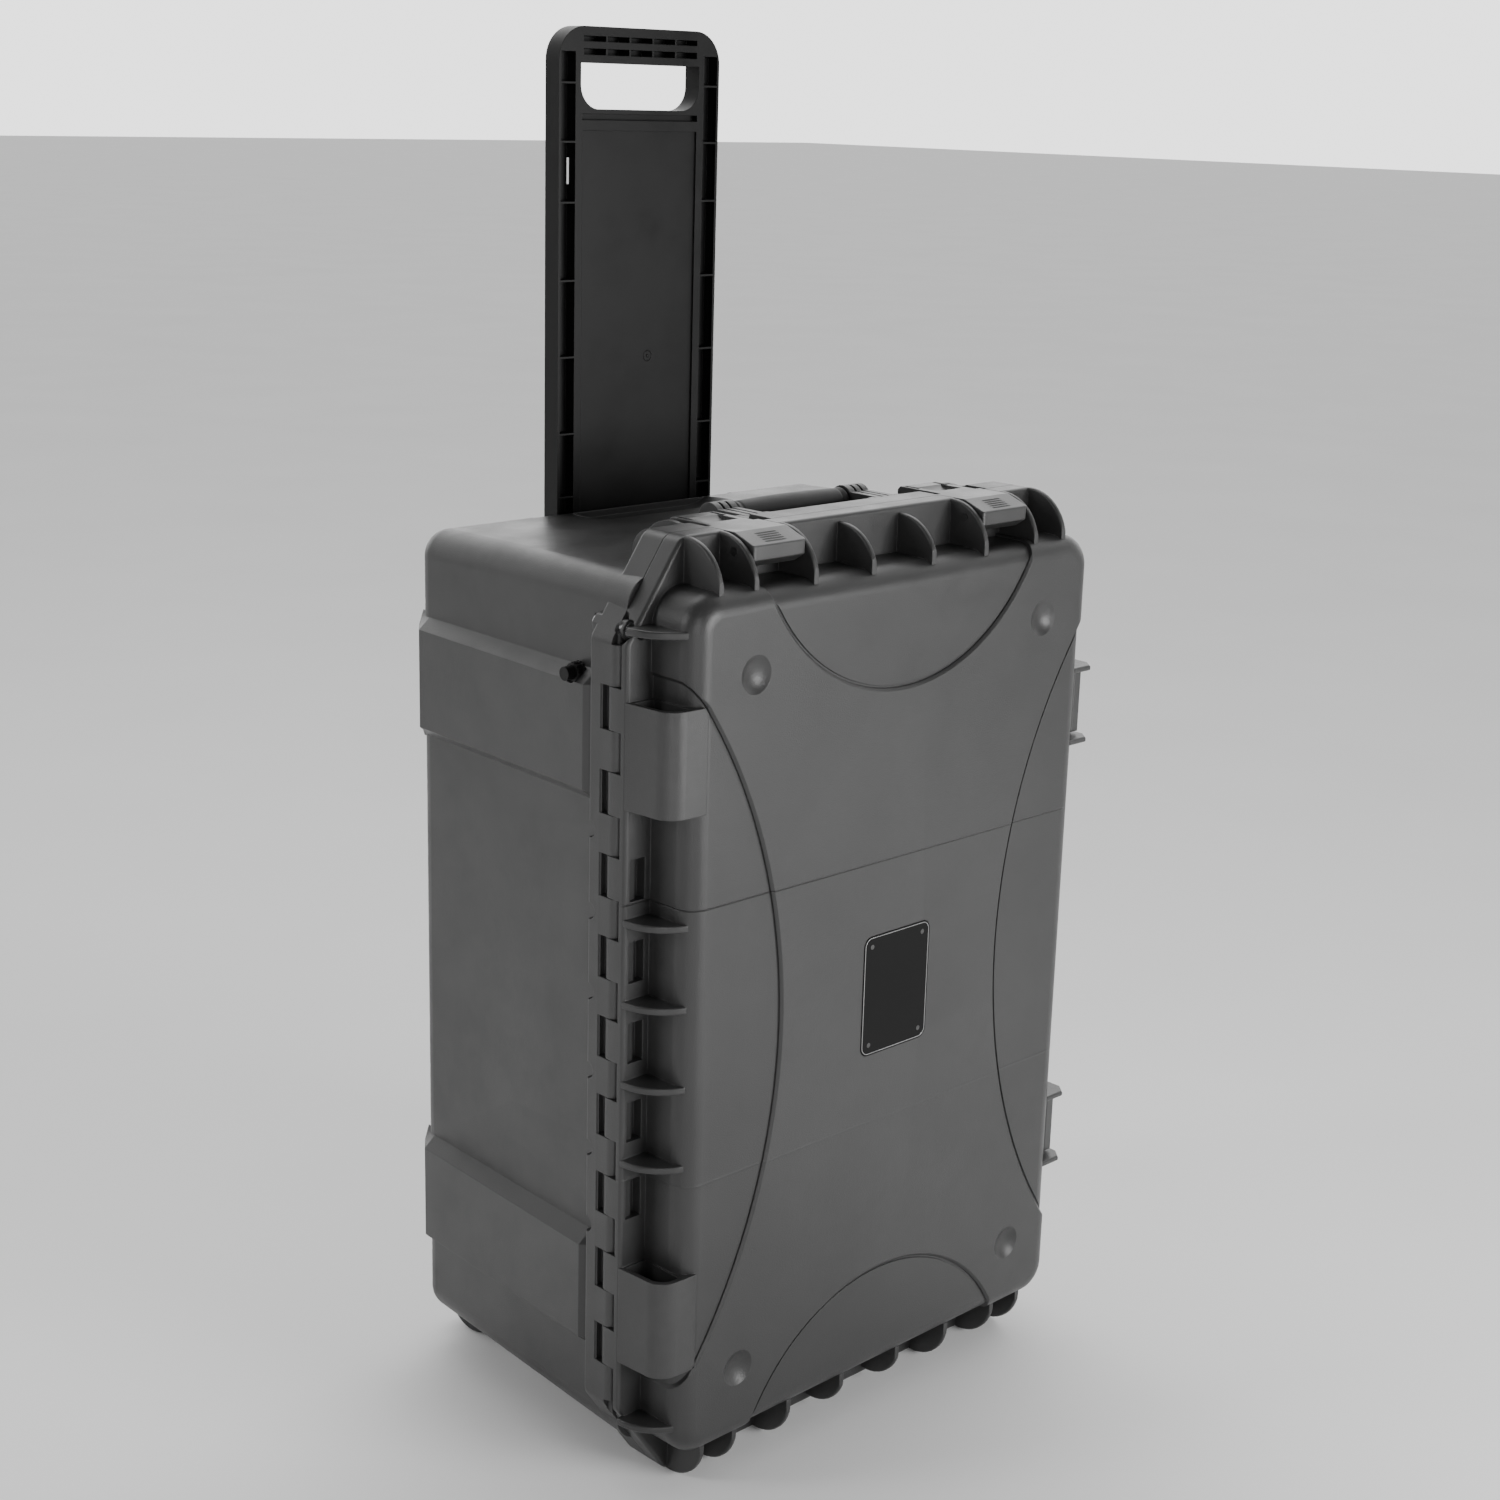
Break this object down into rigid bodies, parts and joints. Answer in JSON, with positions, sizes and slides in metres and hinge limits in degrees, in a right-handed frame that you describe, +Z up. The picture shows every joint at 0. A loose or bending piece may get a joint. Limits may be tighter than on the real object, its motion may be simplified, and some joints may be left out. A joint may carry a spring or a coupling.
{
  "type": "hard equipment case",
  "caption": "Upright wheeled hard case with a hinged lid, draw latches, folding carry handles, a telescoping pull handle and chamfered flanged rim.",
  "frame": {"origin": "on the floor, under the middle of the case: middle of the width and of the depth, floor at z = 0", "axes": "+Z up along the case's length as it stands on its wheeled end; +Y from the lid face to the back with the pull handle and wheels; -X is the hinge side, +X the latch side"},
  "size_m": [0.3622, 0.2636, 0.8187],
  "materials": {
    "case": "fine moulded texture",
    "black_plastic": "satin moulded",
    "sleeve": "soft matt",
    "steel": "satin",
    "seal": "matt",
    "tyre": "matt",
    "hub": "satin",
    "label": "gloss"
  },
  "bodies": {
    "base": {"base_shell": "case", "hinge_pin": "steel", "pull_rail_left": "black_plastic", "pull_rail_right": "black_plastic", "rail_screws_left": "steel", "rail_screws_right": "steel", "wheel_axle_left": "steel", "wheel_axle_right": "steel", "padlock_bush": "steel", "valve_body": "black_plastic", "valve_cap": "steel", "top_handle_pin_left": "steel", "top_handle_pin_right": "steel", "side_handle_pin_lower": "steel", "side_handle_pin_upper": "steel"},
    "lid": {"lid_shell": "case", "lid_seal": "seal", "label_plate": "label", "label_rivets": "steel", "latch_pin_top_left": "steel", "latch_pin_top_right": "steel", "latch_pin_side_upper": "steel", "latch_pin_side_lower": "steel"},
    "latch_top_left_body": {"latch_top_left": "case"},
    "latch_top_right_body": {"latch_top_right": "case"},
    "latch_side_upper_body": {"latch_side_upper": "case"},
    "latch_side_lower_body": {"latch_side_lower": "case"},
    "top_handle_body": {"top_handle": "case", "top_handle_sleeve": "sleeve"},
    "side_handle_body": {"side_handle": "case", "side_handle_sleeve": "sleeve"},
    "pull_handle_body": {"pull_handle": "black_plastic"},
    "wheel_left_body": {"wheel_hub_left": "hub", "wheel_tyre_left": "tyre"},
    "wheel_right_body": {"wheel_hub_right": "hub", "wheel_tyre_right": "tyre"}
  },
  "joints": [
    {"name": "lid_hinge", "type": "hinge", "parent": "base", "child": "lid", "pos_m": [-0.1761, -0.0856, 0.2785], "axis": [0, 0, -1], "range_deg": [0, 100]},
    {"name": "latch_top_left_pivot", "type": "hinge", "parent": "lid", "child": "latch_top_left_body", "pos_m": [-0.0926, -0.1094, 0.5477], "axis": [1, 0, 0], "range_deg": [0, 105]},
    {"name": "latch_top_right_pivot", "type": "hinge", "parent": "lid", "child": "latch_top_right_body", "pos_m": [0.0926, -0.1094, 0.5477], "axis": [1, 0, 0], "range_deg": [0, 105]},
    {"name": "latch_side_upper_pivot", "type": "hinge", "parent": "lid", "child": "latch_side_upper_body", "pos_m": [0.1735, -0.1094, 0.4215], "axis": [0, 0, -1], "range_deg": [0, 105]},
    {"name": "latch_side_lower_pivot", "type": "hinge", "parent": "lid", "child": "latch_side_lower_body", "pos_m": [0.1735, -0.1094, 0.1355], "axis": [0, 0, -1], "range_deg": [0, 105]},
    {"name": "top_handle_pivot", "type": "hinge", "parent": "base", "child": "top_handle_body", "pos_m": [0, -0.0576, 0.5465], "axis": [1, 0, 0], "range_deg": [0, 90]},
    {"name": "side_handle_pivot", "type": "hinge", "parent": "base", "child": "side_handle_body", "pos_m": [0.1752, -0.0576, 0.2785], "axis": [0, 0, -1], "range_deg": [0, 90]},
    {"name": "pull_handle_slide", "type": "slide", "parent": "base", "child": "pull_handle_body", "axis": [0, 0, 1], "range_m": [-0.272, 0]},
    {"name": "wheel_left_spin", "type": "hinge", "parent": "base", "child": "wheel_left_body", "pos_m": [-0.12, 0.1066, 0.025], "axis": [1, 0, 0], "continuous": true},
    {"name": "wheel_right_spin", "type": "hinge", "parent": "base", "child": "wheel_right_body", "pos_m": [0.12, 0.1066, 0.025], "axis": [1, 0, 0], "continuous": true}
  ]
}
